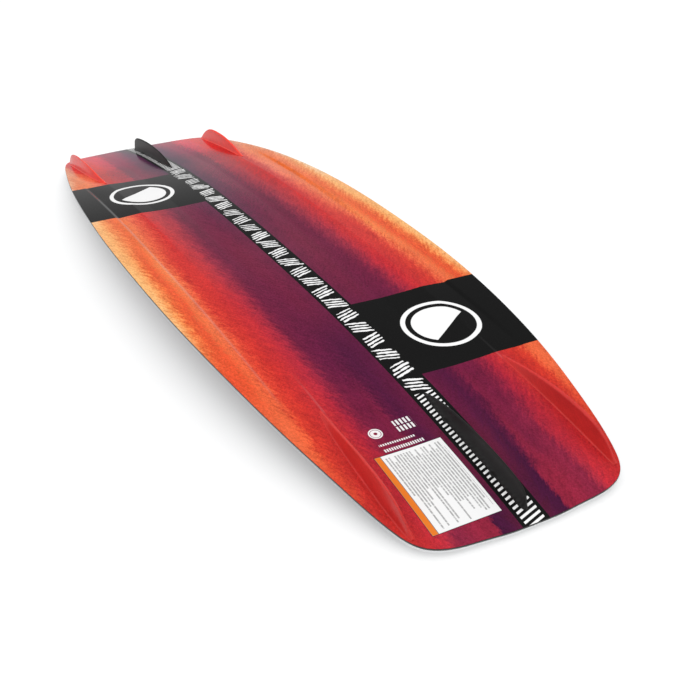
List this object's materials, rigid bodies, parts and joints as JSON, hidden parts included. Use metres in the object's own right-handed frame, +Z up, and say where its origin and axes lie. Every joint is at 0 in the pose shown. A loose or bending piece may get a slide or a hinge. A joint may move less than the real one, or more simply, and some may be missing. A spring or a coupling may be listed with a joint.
{
  "type": "wakeboard",
  "caption": "Twin-tip wakeboard without bindings, base up: rockered laminate board with relief hull, long side fins and bolt-on centre fins.",
  "frame": {"origin": "middle of the footprint on the ground, with the board lying base up on its two tips", "axes": "+X along the board, +Y across it, +Z up, out of the base"},
  "size_m": [1.25, 0.406, 0.0606],
  "materials": {
    "base_sheet": "gloss, printed in lengthwise streaks",
    "laminate": "woven glass fibre in resin",
    "core": "closed-cell foam",
    "sidewall": "satin moulding",
    "top_sheet": "satin deck",
    "binding_insert": "machined",
    "side_fin": "gloss moulding",
    "centre_fin": "satin moulding",
    "fin_insert": "machined",
    "fin_ferrule": "moulded nylon",
    "fin_hardware": "stainless"
  },
  "bodies": {
    "root": {"base_sheet": "base_sheet", "bottom_laminate": "laminate", "core": "core", "sidewall_left": "sidewall", "sidewall_right": "sidewall", "top_laminate": "laminate", "top_sheet": "top_sheet", "binding_insert_rear_left_1": "binding_insert", "binding_insert_rear_left_2": "binding_insert", "binding_insert_rear_left_3": "binding_insert", "binding_insert_rear_left_4": "binding_insert", "binding_insert_rear_left_5": "binding_insert", "binding_insert_rear_left_6": "binding_insert", "binding_insert_rear_right_1": "binding_insert", "binding_insert_rear_right_2": "binding_insert", "binding_insert_rear_right_3": "binding_insert", "binding_insert_rear_right_4": "binding_insert", "binding_insert_rear_right_5": "binding_insert", "binding_insert_rear_right_6": "binding_insert", "binding_insert_front_left_1": "binding_insert", "binding_insert_front_left_2": "binding_insert", "binding_insert_front_left_3": "binding_insert", "binding_insert_front_left_4": "binding_insert", "binding_insert_front_left_5": "binding_insert", "binding_insert_front_left_6": "binding_insert", "binding_insert_front_right_1": "binding_insert", "binding_insert_front_right_2": "binding_insert", "binding_insert_front_right_3": "binding_insert", "binding_insert_front_right_4": "binding_insert", "binding_insert_front_right_5": "binding_insert", "binding_insert_front_right_6": "binding_insert", "side_fin_rear_left": "side_fin", "side_fin_rear_right": "side_fin", "side_fin_front_left": "side_fin", "side_fin_front_right": "side_fin", "centre_fin_rear": "centre_fin", "centre_fin_front": "centre_fin", "fin_insert_rear_1": "fin_insert", "fin_ferrule_rear_1": "fin_ferrule", "fin_washer_rear_1": "fin_hardware", "fin_screw_rear_1": "fin_hardware", "fin_insert_rear_2": "fin_insert", "fin_ferrule_rear_2": "fin_ferrule", "fin_washer_rear_2": "fin_hardware", "fin_screw_rear_2": "fin_hardware", "fin_insert_front_1": "fin_insert", "fin_ferrule_front_1": "fin_ferrule", "fin_washer_front_1": "fin_hardware", "fin_screw_front_1": "fin_hardware", "fin_insert_front_2": "fin_insert", "fin_ferrule_front_2": "fin_ferrule", "fin_washer_front_2": "fin_hardware", "fin_screw_front_2": "fin_hardware"}
  },
  "joints": []
}
